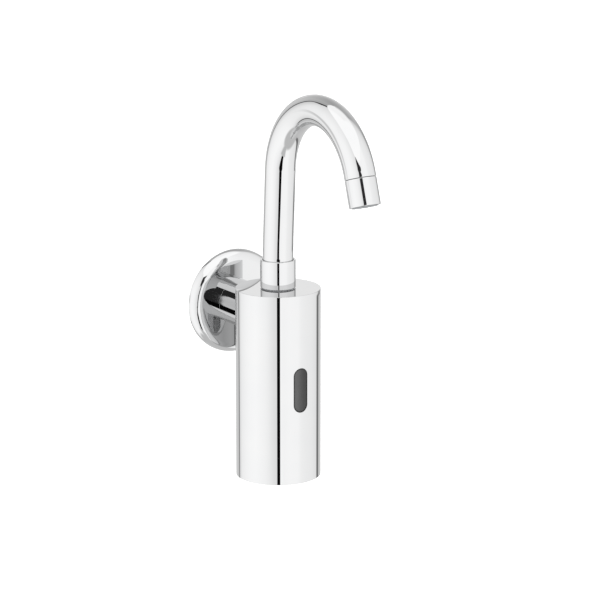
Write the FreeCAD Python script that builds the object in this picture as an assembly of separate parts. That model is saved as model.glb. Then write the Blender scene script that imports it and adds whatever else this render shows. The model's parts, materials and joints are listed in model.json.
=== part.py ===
import FreeCAD, Part
import math
import os

# Wall-mounted sensor tap with a swivelling gooseneck spout.
# Frame in millimetres: the origin is on the inlet axis in the plane of the wall.
# +Z is up, +Y points into the wall and -Y is the front, where the hands go.

# ---- body: the upright cylinder ----
body_radius = 30.0
body_wall = 2.0
top_wall = 4.0
axis_to_wall = 61.0
inlet_below_top = 21.5

# ---- wall flange and arm ----
flange_radius = 37.5
flange_thickness = 8.0
flange_edge_radius = 7.0
flange_recess_depth = 2.0
flange_rim_width = 3.5
wall_gasket_hole_radius = 15.0
arm_radius = 16.4
arm_wall = 2.0

# ---- inlet connector: half-inch pipe thread at the wall ----
pipe_thread_radius = 10.48
pipe_thread_length = 14.0
pipe_thread_relief = 0.3
connector_bore_radius = 6.0
connector_hex_flats = 24.0
connector_hex_length = 6.0
spigot_radius = 8.5
spigot_length = 16.0
spigot_ring_inset = 3.2
lock_groove_width = 5.4
lock_groove_depth = 0.9
filter_seat_radius = 8.2
filter_seat_depth = 11.0
filter_wall = 0.6
filter_slots = 8
filter_slot_width = 1.8

# ---- inlet socket, screwed into the valve body through the shell ----
socket_radius = 13.0
socket_gap = 0.6
socket_nose_radius = 11.0
socket_nose_length = 8.0
socket_seal_thickness = 1.5
socket_bore_end = 1.5
spot_face_depth = 2.5

# ---- spout ----
tube_radius = 10.75
tube_wall = 1.25
tube_seat_depth = 7.0
leg_lean = 3.26
leg_blend_radius = 300.0
leg_height = 64.4
bend_radius = 51.3
bend_angle = 159.0
straight_end = 2.1
collar_radius = 12.4
collar_height = 20.4
collar_edge_radius = 0.4
swivel_limit = 60.0

# ---- swivel nipple ----
nipple_thread_radius = 9.0
nipple_thread_length = 9.0
nipple_flange_radius = 11.6
nipple_flange_thickness = 1.6
nipple_spigot_radius = 7.5
nipple_spigot_height = 11.6
nipple_bore_radius = 5.0
slide_ring_thickness = 1.4
slide_ring_proud = 0.8
swivel_ring_inset = 2.1
swivel_groove_width = 3.4
swivel_groove_depth = 1.1
swivel_screw_radius = 2.0
swivel_screw_tip_radius = 1.4
nipple_seal_thickness = 0.8

# ---- aerator ----
aerator_length = 19.0
aerator_seam = 0.3
outlet_ring_inside = 3.0
outlet_ring_outside = 7.0
outlet_ring_wall = 1.5
outlet_ring_clearance = 0.12
aerator_lip = 1.2
aerator_lip_width = 0.5
aerator_edge_radius = 0.5
aerator_gasket_thickness = 1.5
screen_thickness = 0.5
screen_rise = 1.8
regulator_thickness = 2.4
regulator_holes = 6
regulator_hole_radius = 1.1
regulator_circle_share = 0.55
insert_proud = 0.5
jet_radius = 0.8
jet_pitch = 2.3

# ---- sensor ----
window_width = 11.2
window_height = 32.0
window_recess = 0.4
window_flange = 2.0
window_flange_thickness = 1.4
window_gasket_thickness = 0.6
window_clearance = 0.08
sensor_box_half_width = 11.0
sensor_box_wall = 1.5
sensor_box_depth = 12.0
sensor_coil_gap = 3.0
sensor_headroom = 0.75
sensor_end_wall = 0.5
sensor_cover_thickness = 1.5
sensor_board_thickness = 1.6
sensor_board_gap = 1.5
diode_radius = 2.5
diode_rim = 0.4
diode_rim_thickness = 1.0
diode_spacing = 16.0
diode_length = 5.0
baffle_thickness = 1.2

# ---- valve ----
valve_height = 33.5
valve_clearance = 0.5
chamber_depth = 9.0
seat_wall = 1.6
seat_rise = 1.0
seat_overlap = 1.2
outlet_bore_step = 1.0
feed_radius = 2.4
disc_thickness = 3.0
disc_lift = 2.0
disc_gap = 0.05
diaphragm_rim_width = 2.8
diaphragm_rim_thickness = 2.0
diaphragm_web_thickness = 1.0
diaphragm_web_width = 4.2
pilot_radius = 0.6
bonnet_side_gap = 2.4
bonnet_height = 11.0
bonnet_cavity_step = 1.5
bonnet_cavity_spare = 0.6
bonnet_screw_edge = 3.0
bonnet_screw_web = 0.5
bonnet_screw_count = 4

# ---- solenoid ----
core_radius = 5.0
core_wall = 0.75
core_flange_radius = 7.5
core_flange_thickness = 1.5
core_end_wall = 1.0
plunger_radius = 4.15
plunger_length = 21.4
plunger_spare_travel = 0.4
plunger_bore_radius = 2.6
plunger_bore_depth = 7.0
plunger_seal_radius = 1.8
plunger_seal_depth = 1.2
plunger_seal_proud = 0.4
pole_length = 7.6
spring_radius = 2.0
spring_wire_radius = 0.25
spring_turns = 6
yoke_thickness = 1.5
yoke_half_depth = 6.0
yoke_gap = 0.3
bobbin_wall = 1.0
bobbin_height = 20.0
magnet_step = 2.0
magnet_thickness = 2.0
stud_radius = 3.0
stud_length = 6.0
coil_nut_flats = 9.0
coil_nut_height = 4.0

# ---- chassis and battery ----
chassis_thickness = 2.8
chassis_half_angle = 50.0
chassis_clearance = 0.8
chassis_boss_radius = 2.6
chassis_boss_height = 8.0
chassis_boss_angle = 40.0
chassis_head_room = 6.0
shelf_thickness = 2.0
post_radius = 2.7
battery_width = 35.0
battery_depth = 19.5
battery_height = 36.0
holder_wall = 1.5
holder_clearance = 0.25
contact_thickness = 0.4
contact_height = 1.5
contact_spacing = 16.0
pad_radius = 8.0
pad_thickness = 2.75

# ---- bottom cap ----
cap_thickness = 5.0
cap_recess = 0.5
cap_clearance = 0.1
cap_groove_inset = 1.4

# ---- shared fastener and seal sizes ----
small_screw_radius = 1.5
small_screw_head_radius = 2.6
small_screw_head_height = 2.0
chassis_screw_radius = 1.25
chassis_screw_head_radius = 2.2
screw_engagement = 7.0
o_ring_radius = 0.9
groove_floor_gap = 0.02
groove_side_gap = 0.2
fit_clearance = 0.05
thread_clearance = 0.05
key_depth_share = 0.6
hole_clearance = 0.4

# ---- levels and places that follow from the sizes above ----
# The body is as tall as what it holds, from the valve at the top to the cap at the bottom: 135.5.
top_z = inlet_below_top
ceiling_z = top_z - top_wall
inner_radius = body_radius - body_wall
valve_radius = inner_radius - valve_clearance
valve_bottom_z = ceiling_z - valve_height
bonnet_radius = inner_radius - chassis_clearance - chassis_thickness - bonnet_side_gap
bonnet_screw_circle = bonnet_radius - bonnet_screw_edge
diaphragm_radius = bonnet_screw_circle - small_screw_radius - hole_clearance / 2.0 - bonnet_screw_web
chamber_radius = diaphragm_radius - diaphragm_rim_width
bonnet_cavity_radius = chamber_radius - bonnet_cavity_step
disc_radius = chamber_radius - diaphragm_web_width
seat_radius = disc_radius - seat_overlap - seat_wall
outlet_bore_radius = seat_radius - outlet_bore_step
seat_z = valve_bottom_z + seat_rise
disc_top_z = seat_z - disc_gap
disc_bottom_z = disc_top_z - disc_thickness
bonnet_bottom_z = valve_bottom_z - bonnet_height
cavity_floor_z = disc_bottom_z - disc_lift - bonnet_cavity_spare
plunger_top_z = disc_bottom_z - disc_gap - plunger_seal_proud
plunger_bottom_z = plunger_top_z - plunger_length
pole_top_z = plunger_bottom_z - disc_lift - plunger_spare_travel
core_inner_end_z = pole_top_z - pole_length
core_end_z = core_inner_end_z - core_end_wall
core_bore_radius = core_radius - core_wall
yoke_top_z = bonnet_bottom_z
bobbin_top_z = yoke_top_z - yoke_thickness
bobbin_bottom_z = bobbin_top_z - bobbin_height
magnet_bottom_z = bobbin_bottom_z - magnet_thickness
yoke_bottom_z = magnet_bottom_z - yoke_thickness
sensor_half_height = window_height / 2.0 + window_flange + sensor_end_wall
window_z = bonnet_bottom_z - sensor_headroom - sensor_half_height
shelf_top_z = window_z - sensor_half_height
shelf_bottom_z = shelf_top_z - shelf_thickness
contact_top_z = shelf_bottom_z - holder_wall
battery_top_z = contact_top_z - contact_height
battery_bottom_z = battery_top_z - battery_height
cap_top_z = battery_bottom_z - pad_thickness
cap_bottom_z = cap_top_z - cap_thickness
cap_groove_z = cap_top_z - cap_groove_inset
bottom_z = cap_bottom_z - cap_recess
holder_half_width = battery_width / 2.0 + holder_clearance + holder_wall
post_offset = (holder_half_width + inner_radius) / 2.0
window_flange_outer = inner_radius - window_gasket_thickness
window_flange_inner = window_flange_outer - window_flange_thickness
cover_back = window_flange_inner - sensor_box_depth
board_back = cover_back + sensor_cover_thickness + sensor_board_gap
board_front = board_back + sensor_board_thickness
bobbin_radius = cover_back - sensor_coil_gap
magnet_radius = bobbin_radius - magnet_step
collar_bottom_z = top_z + slide_ring_proud
collar_top_z = top_z + collar_height
tube_foot_z = collar_top_z - tube_seat_depth
nipple_top_z = top_z + nipple_spigot_height
swivel_groove_z = top_z + nipple_spigot_height / 2.0
flange_front_y = -flange_thickness
hex_front_y = flange_front_y - connector_hex_length
spigot_end_y = hex_front_y - spigot_length
lock_y = (hex_front_y + spigot_end_y) / 2.0
socket_mouth_y = hex_front_y - socket_gap
spot_face_y = -axis_to_wall + valve_radius - spot_face_depth
socket_shoulder_y = spot_face_y + socket_seal_thickness
tube_bore_radius = tube_radius - tube_wall

# Along the outlet's axis, counted from the tube's end.
gasket_start = outlet_ring_outside
regulator_start = gasket_start + aerator_gasket_thickness
insert_start = regulator_start + regulator_thickness
lip_start = aerator_length - aerator_lip

X = FreeCAD.Vector(1, 0, 0)
Y = FreeCAD.Vector(0, 1, 0)
Z = FreeCAD.Vector(0, 0, 1)
ORIGIN = FreeCAD.Vector(0, 0, 0)
pick_tolerance = 0.01


def on_axis(z):
    """A point on the upright axis of the body."""
    return FreeCAD.Vector(0, -axis_to_wall, z)


def on_inlet(y):
    """A point on the inlet axis."""
    return FreeCAD.Vector(0, y, 0)


def cylinder(radius, start, direction, length):
    return Part.makeCylinder(radius, length, start, direction)


def upright(radius, low_z, high_z):
    """A cylinder on the body's axis."""
    return cylinder(radius, on_axis(low_z), Z, high_z - low_z)


def upright_ring(outer, inner, low_z, high_z):
    return upright(outer, low_z, high_z).cut(upright(inner, low_z, high_z))


def level(radius, front_y, back_y):
    """A cylinder on the inlet axis, from its front end to its wall end."""
    return cylinder(radius, on_inlet(front_y), Y, back_y - front_y)


def level_ring(outer, inner, front_y, back_y):
    return level(outer, front_y, back_y).cut(level(inner, front_y, back_y))


def block(x0, x1, y0, y1, z0, z1):
    return Part.makeBox(x1 - x0, y1 - y0, z1 - z0, FreeCAD.Vector(x0, y0, z0))


def fuse(first, others):
    for other in others:
        first = first.fuse(other)
    return first.removeSplitter()


def cut(shape, tools):
    for tool in tools:
        shape = shape.cut(tool)
    return shape


def o_ring(centre, direction, groove_radius, section_radius):
    """A ring that fills its groove from the floor to just under the mating bore."""
    mean = groove_radius - section_radius - groove_floor_gap
    return Part.makeTorus(mean, section_radius, centre, direction)


def groove(centre, direction, outer_radius, width, depth):
    """The cutter for a groove round a shaft."""
    start = centre - direction * (width / 2.0)
    spare = 1.0
    outer = cylinder(outer_radius + spare, start, direction, width)
    return outer.cut(cylinder(outer_radius - depth, start, direction, width))


def ring_groove(centre, direction, outer_radius):
    depth = 2 * o_ring_radius + 2 * groove_floor_gap
    width = 2 * o_ring_radius + 2 * groove_side_gap
    return groove(centre, direction, outer_radius, width, depth)


def hexagon(flats, start, direction, length):
    """A hexagonal prism, its flats square to X."""
    corner = flats / math.sqrt(3.0)
    side = direction.cross(X)
    points = []
    for i in range(7):
        angle = math.radians(60.0 * i + 30.0)
        points.append(start + X * (corner * math.cos(angle)) + side * (corner * math.sin(angle)))
    return Part.Face(Part.makePolygon(points)).extrude(direction * length)


def obround_prism(width, height, front_y, back_y, centre_z):
    """An upright slot shape across the front of the body, straight along Y."""
    radius = width / 2.0
    half = height / 2.0 - radius
    middle = block(-radius, radius, front_y, back_y, centre_z - half, centre_z + half)
    ends = []
    for z in (centre_z - half, centre_z + half):
        ends.append(cylinder(radius, FreeCAD.Vector(0, front_y, z), Y, back_y - front_y))
    return fuse(middle, ends)


def obround_post(width, depth, low_z, high_z):
    """An upright obround column on the body's axis, long along X."""
    radius = depth / 2.0
    half = width / 2.0 - radius
    middle = block(-half, half, -axis_to_wall - radius, -axis_to_wall + radius, low_z, high_z)
    ends = []
    for x in (-half, half):
        start = FreeCAD.Vector(x, -axis_to_wall, low_z)
        ends.append(cylinder(radius, start, Z, high_z - low_z))
    return fuse(middle, ends)


def front_slab(outer, inner, width, height):
    """A curved obround piece of the body's front between two radii."""
    shape = obround_prism(width, height, -axis_to_wall - outer - 1.0, -axis_to_wall, window_z)
    low = window_z - height
    high = window_z + height
    return shape.common(upright_ring(outer, inner, low, high))


def screw(place, direction, shank_radius, shank_length, head_radius, head_height):
    """A screw whose shank runs along direction from place, with its head behind."""
    head = cylinder(head_radius, place - direction * head_height, direction, head_height)
    shank = cylinder(shank_radius, place, direction, shank_length)
    key = hexagon(head_radius, place - direction * head_height, direction, head_height * key_depth_share)
    return head.fuse(shank).cut(key)


def rounded(shape, size, wanted):
    """Round the circular edges that the test picks."""
    edges = []
    for edge in shape.Edges:
        curve = edge.Curve
        if isinstance(curve, Part.Circle) and wanted(curve):
            edges.append(edge)
    return shape.makeFillet(size, edges)


# ---- wall side ----
def wall_flange():
    shape = level(flange_radius, flange_front_y, 0)
    shape = rounded(shape, flange_edge_radius, lambda c: abs(c.Center.y - flange_front_y) < pick_tolerance)
    recess = level(flange_radius - flange_rim_width, -flange_recess_depth, 0)
    hole = level(pipe_thread_radius + hole_clearance, flange_front_y, 0)
    return cut(shape, [recess, hole])


def wall_gasket():
    outer = flange_radius - flange_rim_width - fit_clearance
    return level_ring(outer, wall_gasket_hole_radius, -flange_recess_depth, 0)


def inlet_connector():
    thread = level(pipe_thread_radius, 0, pipe_thread_length)
    neck = level(pipe_thread_radius - pipe_thread_relief, flange_front_y, 0)
    nut = hexagon(connector_hex_flats, on_inlet(hex_front_y), Y, connector_hex_length)
    spigot = level(spigot_radius, spigot_end_y, hex_front_y)
    shape = fuse(thread, [neck, nut, spigot])
    bore = level(connector_bore_radius, spigot_end_y, pipe_thread_length)
    seat = level(filter_seat_radius, pipe_thread_length - filter_seat_depth, pipe_thread_length)
    shape = cut(shape, [bore, seat])
    for y in spigot_ring_places():
        shape = shape.cut(ring_groove(on_inlet(y), Y, spigot_radius))
    return shape.cut(groove(on_inlet(lock_y), Y, spigot_radius, lock_groove_width, lock_groove_depth))


def spigot_ring_places():
    return (hex_front_y - socket_gap - spigot_ring_inset, spigot_end_y + spigot_ring_inset)


def connector_o_rings():
    rings = []
    for y in spigot_ring_places():
        rings.append(o_ring(on_inlet(y), Y, spigot_radius, o_ring_radius))
    return Part.makeCompound(rings)


def inlet_filter():
    rim_radius = filter_seat_radius - fit_clearance
    cup_radius = connector_bore_radius - fit_clearance
    rim_y = pipe_thread_length - filter_seat_depth
    end_y = rim_y + filter_seat_depth - 2 * filter_wall
    rim = level(rim_radius, rim_y, rim_y + 2 * filter_wall)
    cup = level(cup_radius, rim_y, end_y)
    hollow = level(cup_radius - filter_wall, rim_y, end_y - filter_wall)
    shape = fuse(rim, [cup]).cut(hollow)
    slot_low = rim_y + 4 * filter_wall
    slot_high = end_y - 2 * filter_wall
    half = filter_slot_width / 2.0
    for i in range(filter_slots // 2):
        slot = block(-half, half, slot_low, slot_high, -filter_seat_radius, filter_seat_radius)
        slot.rotate(ORIGIN, Y, 360.0 * i / filter_slots)
        shape = shape.cut(slot)
    return shape


def inlet_socket():
    barrel = level(socket_radius, socket_shoulder_y, socket_mouth_y)
    nose = level(socket_nose_radius, spot_face_y - socket_nose_length, socket_shoulder_y)
    shape = fuse(barrel, [nose])
    socket_floor_y = spigot_end_y - socket_bore_end
    wide = level(spigot_radius + fit_clearance, socket_floor_y, socket_mouth_y)
    bore = level(connector_bore_radius, spot_face_y - socket_nose_length, socket_floor_y)
    hole = cylinder(lock_screw_radius(), on_inlet(lock_y), -Z, socket_radius)
    return cut(shape, [wide, bore, hole])


def lock_screw_radius():
    return lock_groove_width / 2.0 - 2 * groove_side_gap


def inlet_socket_seal():
    inner = socket_nose_radius + fit_clearance
    return level_ring(socket_radius, inner, spot_face_y, socket_shoulder_y)


def arm_sleeve():
    shape = level_ring(arm_radius, arm_radius - arm_wall, -axis_to_wall, flange_front_y)
    shape = shape.cut(upright(body_radius, -2 * arm_radius, 2 * arm_radius))
    reach = arm_radius + 1.0
    access = cylinder(lock_screw_radius() + hole_clearance, on_inlet(lock_y), -Z, reach)
    return shape.cut(access)


def arm_lock_screw():
    radius = lock_screw_radius() - thread_clearance
    tip = spigot_radius - lock_groove_depth + fit_clearance
    start = on_inlet(lock_y) - Z * tip
    shape = cylinder(radius, start, -Z, socket_radius - tip)
    key_depth = (socket_radius - tip) * 0.5
    key_start = on_inlet(lock_y) - Z * (socket_radius - key_depth)
    return shape.cut(hexagon(radius, key_start, -Z, key_depth))


# ---- body ----
def body_shell():
    shape = upright(body_radius, bottom_z, top_z)
    hollow = upright(inner_radius, bottom_z, ceiling_z)
    hole = upright(nipple_thread_radius + hole_clearance / 2.0, ceiling_z, top_z)
    seat = upright(nipple_flange_radius + fit_clearance, nipple_seat_z(), top_z)
    back = level(socket_radius + hole_clearance, -axis_to_wall, 0)
    slot = obround_prism(window_width, window_height, -axis_to_wall - 2 * body_radius,
                         -axis_to_wall, window_z)
    return cut(shape, [hollow, hole, seat, back, slot])


def nipple_seat_z():
    """The floor of the counterbore in the top wall."""
    under_ring = top_z + slide_ring_proud - slide_ring_thickness
    return under_ring - nipple_flange_thickness - nipple_seal_thickness


def bottom_cap():
    radius = inner_radius - cap_clearance
    shape = upright(radius, cap_bottom_z, cap_top_z)
    shape = shape.cut(ring_groove(on_axis(cap_groove_z), Z, radius))
    for x in (-post_offset, post_offset):
        place = FreeCAD.Vector(x, -axis_to_wall, cap_bottom_z)
        shape = shape.cut(cylinder(small_screw_radius + hole_clearance / 2.0, place, Z, cap_thickness))
        sink = small_screw_head_height + groove_side_gap
        shape = shape.cut(cylinder(small_screw_head_radius + groove_side_gap, place, Z, sink))
    return shape


def bottom_seal():
    return o_ring(on_axis(cap_groove_z), Z, inner_radius - cap_clearance, o_ring_radius)


def bottom_screws():
    screws = []
    for x in (-post_offset, post_offset):
        under_head_z = cap_bottom_z + small_screw_head_height + groove_side_gap
        place = FreeCAD.Vector(x, -axis_to_wall, under_head_z)
        length = cap_top_z - under_head_z + screw_engagement
        screws.append(screw(place, Z, small_screw_radius, length,
                            small_screw_head_radius, small_screw_head_height))
    return Part.makeCompound(screws)


# ---- spout swivel ----
def swivel_nipple():
    thread_low = ceiling_z - nipple_thread_length
    flange_low = nipple_seat_z() + nipple_seal_thickness
    flange_high = flange_low + nipple_flange_thickness
    thread = upright(nipple_thread_radius, thread_low, flange_low)
    plate = upright(nipple_flange_radius, flange_low, flange_high)
    spigot = upright(nipple_spigot_radius, flange_high, nipple_top_z)
    shape = fuse(thread, [plate, spigot])
    shape = shape.cut(upright(nipple_bore_radius, thread_low, nipple_top_z))
    for z in swivel_ring_places():
        shape = shape.cut(ring_groove(on_axis(z), Z, nipple_spigot_radius))
    return shape.cut(swivel_stop_groove())


def swivel_ring_places():
    return (top_z + swivel_ring_inset, nipple_top_z - swivel_ring_inset)


def swivel_stop_groove():
    """Part of a ring at the back: its two ends stop the lock screw's tip."""
    cutter = groove(on_axis(swivel_groove_z), Z, nipple_spigot_radius,
                    swivel_groove_width, swivel_groove_depth)
    floor_radius = nipple_spigot_radius - swivel_groove_depth
    tip_angle = math.degrees(math.asin(swivel_screw_tip_radius / floor_radius))
    half_angle = swivel_limit + tip_angle + 1.0
    reach = 2 * nipple_spigot_radius
    low = swivel_groove_z - swivel_groove_width
    wedge = Part.makeCylinder(reach, 2 * swivel_groove_width, on_axis(low), Z, 2 * half_angle)
    wedge.rotate(on_axis(0), Z, 90.0 - half_angle)
    return cutter.common(wedge)


def nipple_seal():
    low = nipple_seat_z()
    inner = nipple_thread_radius + thread_clearance
    return upright_ring(nipple_flange_radius, inner, low, low + nipple_seal_thickness)


def swivel_o_rings():
    rings = []
    for z in swivel_ring_places():
        rings.append(o_ring(on_axis(z), Z, nipple_spigot_radius, o_ring_radius))
    return Part.makeCompound(rings)


def slide_ring():
    high = collar_bottom_z
    inner = nipple_spigot_radius + fit_clearance
    return upright_ring(nipple_flange_radius, inner, high - slide_ring_thickness, high)


def spout_collar():
    shape = upright(collar_radius, collar_bottom_z, collar_top_z)
    bore = upright(nipple_spigot_radius + fit_clearance, collar_bottom_z, tube_foot_z)
    seat = upright(tube_radius + fit_clearance, tube_foot_z, collar_top_z)
    start = on_axis(swivel_groove_z)
    hole = cylinder(swivel_screw_radius, start, Y, 2 * collar_radius)
    shape = rounded(shape, collar_edge_radius, lambda c: abs(c.Center.z - collar_top_z) < pick_tolerance)
    return cut(shape, [bore, seat, hole])


def swivel_lock_screw():
    tip_floor = nipple_spigot_radius - swivel_groove_depth + fit_clearance
    body_start = nipple_spigot_radius + 2 * fit_clearance
    head_end = collar_radius - groove_side_gap
    centre = on_axis(swivel_groove_z)
    tip = cylinder(swivel_screw_tip_radius, centre + Y * tip_floor, Y, body_start - tip_floor)
    thread_radius = swivel_screw_radius - thread_clearance
    body = cylinder(thread_radius, centre + Y * body_start, Y, head_end - body_start)
    key_depth = (head_end - body_start) * 0.5
    key = hexagon(swivel_screw_radius, centre + Y * (head_end - key_depth), Y, key_depth)
    return fuse(tip, [body]).cut(key)


# ---- spout ----
class SpoutPath:
    """The tube's centre line: a leg, a blend, a leaning leg, the gooseneck's arc and a short end."""

    def __init__(self):
        lean = math.radians(leg_lean)
        turn = math.radians(leg_lean + bend_angle)
        foot = on_axis(tube_foot_z)
        blend_start = on_axis(collar_top_z)
        blend_end = self.along_arc(blend_start, 0.0, lean, leg_blend_radius)
        climb = leg_height - (blend_end.z - collar_top_z)
        bend_start = blend_end + self.heading(lean) * (climb / math.cos(lean))
        bend_end = self.along_arc(bend_start, lean, turn, bend_radius)
        self.start = foot
        self.end = bend_end + self.heading(turn) * straight_end
        self.direction = self.heading(turn)
        self.centre = bend_start + self.side(lean) * bend_radius
        edges = [Part.LineSegment(foot, blend_start).toShape()]
        edges.append(self.arc(blend_start, 0.0, lean, leg_blend_radius))
        edges.append(Part.LineSegment(blend_end, bend_start).toShape())
        edges.append(self.arc(bend_start, lean, turn, bend_radius))
        edges.append(Part.LineSegment(bend_end, self.end).toShape())
        self.wire = Part.Wire(edges)

    def heading(self, angle):
        return FreeCAD.Vector(0, -math.sin(angle), math.cos(angle))

    def side(self, angle):
        return FreeCAD.Vector(0, -math.cos(angle), -math.sin(angle))

    def along_arc(self, start, first, last, radius):
        return start + self.side(first) * radius - self.side(last) * radius

    def arc(self, start, first, last, radius):
        middle = self.along_arc(start, first, (first + last) / 2.0, radius)
        end = self.along_arc(start, first, last, radius)
        return Part.Arc(start, middle, end).toShape()


def swept(path, radius):
    circle = Part.Wire([Part.makeCircle(radius, path.start, Z)])
    return path.wire.makePipeShell([circle], True, False)


def spout_tube(path):
    return swept(path, tube_radius).cut(swept(path, tube_bore_radius))


def along_outlet(path, radius, start, length):
    """A cylinder along the outlet's axis, counted from the tube's end."""
    return cylinder(radius, path.end + path.direction * start, path.direction, length)


def outlet_ring(path):
    outer = tube_bore_radius - outlet_ring_clearance
    length = outlet_ring_inside + outlet_ring_outside
    shape = along_outlet(path, outer, -outlet_ring_inside, length)
    return shape.cut(along_outlet(path, outer - outlet_ring_wall, -outlet_ring_inside, length))


def aerator_housing(path):
    shape = along_outlet(path, tube_radius, aerator_seam, aerator_length - aerator_seam)
    end = path.end + path.direction * aerator_length
    shape = rounded(shape, aerator_edge_radius, lambda c: c.Center.distanceToPoint(end) < pick_tolerance)
    bore = along_outlet(path, tube_bore_radius, 0, lip_start)
    mouth = along_outlet(path, tube_bore_radius - aerator_lip_width, 0, aerator_length)
    return cut(shape, [bore, mouth])


def aerator_gasket(path):
    outer = tube_bore_radius - fit_clearance
    inner = outer - outlet_ring_wall
    shape = along_outlet(path, outer, gasket_start, aerator_gasket_thickness)
    return shape.cut(along_outlet(path, inner, gasket_start, aerator_gasket_thickness))


def aerator_screen(path):
    """A shallow conical strainer that stands on the regulator, inside the gasket."""
    outer = tube_bore_radius - outlet_ring_wall - 3 * fit_clearance
    base = path.end + path.direction * regulator_start
    up = path.direction * -1
    small = outer / 3.0
    cone = Part.makeCone(outer, small, screen_rise, base, up)
    inner = Part.makeCone(outer - 2 * screen_thickness, small - screen_thickness,
                          screen_rise - screen_thickness, base, up)
    return cone.cut(inner)


def flow_regulator(path):
    outer = tube_bore_radius - 2 * fit_clearance
    shape = along_outlet(path, outer, regulator_start, regulator_thickness)
    circle = outer * regulator_circle_share
    start = path.end + path.direction * regulator_start
    across = path.direction.cross(X)
    for i in range(regulator_holes):
        angle = 2 * math.pi * i / regulator_holes
        place = start + X * (circle * math.cos(angle)) + across * (circle * math.sin(angle))
        shape = shape.cut(cylinder(regulator_hole_radius, place, path.direction, regulator_thickness))
    return shape


def aerator_insert(path):
    """The outlet grid: round jets in a hexagonal layout, standing on the housing's lip."""
    wide = tube_bore_radius - 2 * fit_clearance
    narrow = tube_bore_radius - aerator_lip_width - 2 * fit_clearance
    depth = aerator_length + insert_proud - insert_start
    shape = along_outlet(path, wide, insert_start, lip_start - insert_start)
    shape = fuse(shape, [along_outlet(path, narrow, insert_start, depth)])
    start = path.end + path.direction * insert_start
    across = path.direction.cross(X)
    rows = int(narrow / jet_pitch) + 1
    jets = []
    for row in range(-rows, rows + 1):
        for column in range(-rows, rows + 1):
            u = (column + row / 2.0) * jet_pitch
            v = row * jet_pitch * math.sqrt(3.0) / 2.0
            if math.hypot(u, v) < narrow - 1.5 * jet_radius:
                place = start + X * u + across * v
                jets.append(cylinder(jet_radius, place, path.direction, depth))
    return shape.cut(Part.makeCompound(jets))


# ---- sensor ----
def sensor_window():
    plug_width = window_width - 2 * window_clearance
    plug_height = window_height - 2 * window_clearance
    plug = front_slab(body_radius - window_recess, window_flange_inner, plug_width, plug_height)
    plate = front_slab(window_flange_outer, window_flange_inner,
                       window_width + 2 * window_flange, window_height + 2 * window_flange)
    return fuse(plate, [plug])


def window_gasket():
    shape = front_slab(inner_radius, window_flange_outer,
                       window_width + 2 * window_flange, window_height + 2 * window_flange)
    opening = obround_prism(window_width + 2 * window_clearance, window_height + 2 * window_clearance,
                            -axis_to_wall - 2 * body_radius, -axis_to_wall, window_z)
    return shape.cut(opening)


def behind_window(x_half, far, near, low_z, high_z):
    """A block behind the window, between two distances in front of the body's axis."""
    return block(-x_half, x_half, -axis_to_wall - far, -axis_to_wall - near, low_z, high_z)


def sensor_housing():
    low = window_z - sensor_half_height
    high = window_z + sensor_half_height
    back = cover_back + sensor_cover_thickness
    front = window_flange_inner - fit_clearance
    inside = sensor_box_half_width - sensor_box_wall
    shape = behind_window(sensor_box_half_width, front, back, low, high)
    shape = shape.cut(behind_window(inside, front, back, low + sensor_box_wall, high - sensor_box_wall))
    half = baffle_thickness / 2.0
    baffle = behind_window(inside, front, board_front + fit_clearance, window_z - half, window_z + half)
    shape = shape.fuse(baffle)
    shape = shape.common(upright(front, low, high)).removeSplitter()
    for place in sensor_screw_places(low):
        shape = shape.cut(cylinder(chassis_screw_radius, place, Z, sensor_box_wall * 0.8))
    return shape


def sensor_screw_places(z):
    depth = (cover_back + sensor_cover_thickness + window_flange_inner) / 2.0
    offset = sensor_box_half_width * 0.6
    return [FreeCAD.Vector(x, -axis_to_wall - depth, z) for x in (-offset, offset)]


def sensor_rear_cover():
    low = window_z - sensor_half_height
    high = window_z + sensor_half_height
    back = cover_back + sensor_cover_thickness
    return behind_window(sensor_box_half_width, back, cover_back, low, high)


def sensor_board():
    inside = sensor_box_half_width - sensor_box_wall - 2 * fit_clearance
    half = sensor_half_height - sensor_box_wall - 2 * fit_clearance
    return behind_window(inside, board_front, board_back, window_z - half, window_z + half)


def diode(z):
    """A round lens diode that looks forward from the board."""
    start = FreeCAD.Vector(0, -axis_to_wall - board_front, z)
    rim = cylinder(diode_radius + diode_rim, start, -Y, diode_rim_thickness)
    barrel = cylinder(diode_radius, start, -Y, diode_length - diode_radius)
    dome = Part.makeSphere(diode_radius, start - Y * (diode_length - diode_radius))
    half_space = behind_window(body_radius, 2 * body_radius, board_front,
                               z - body_radius, z + body_radius)
    return fuse(rim, [barrel, dome]).common(half_space)


def sensor_screws():
    screws = []
    for place in sensor_screw_places(shelf_bottom_z):
        length = shelf_thickness + sensor_box_wall * 0.7
        screws.append(screw(place, Z, chassis_screw_radius - thread_clearance, length,
                            chassis_screw_head_radius, small_screw_head_height))
    return Part.makeCompound(screws)


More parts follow.
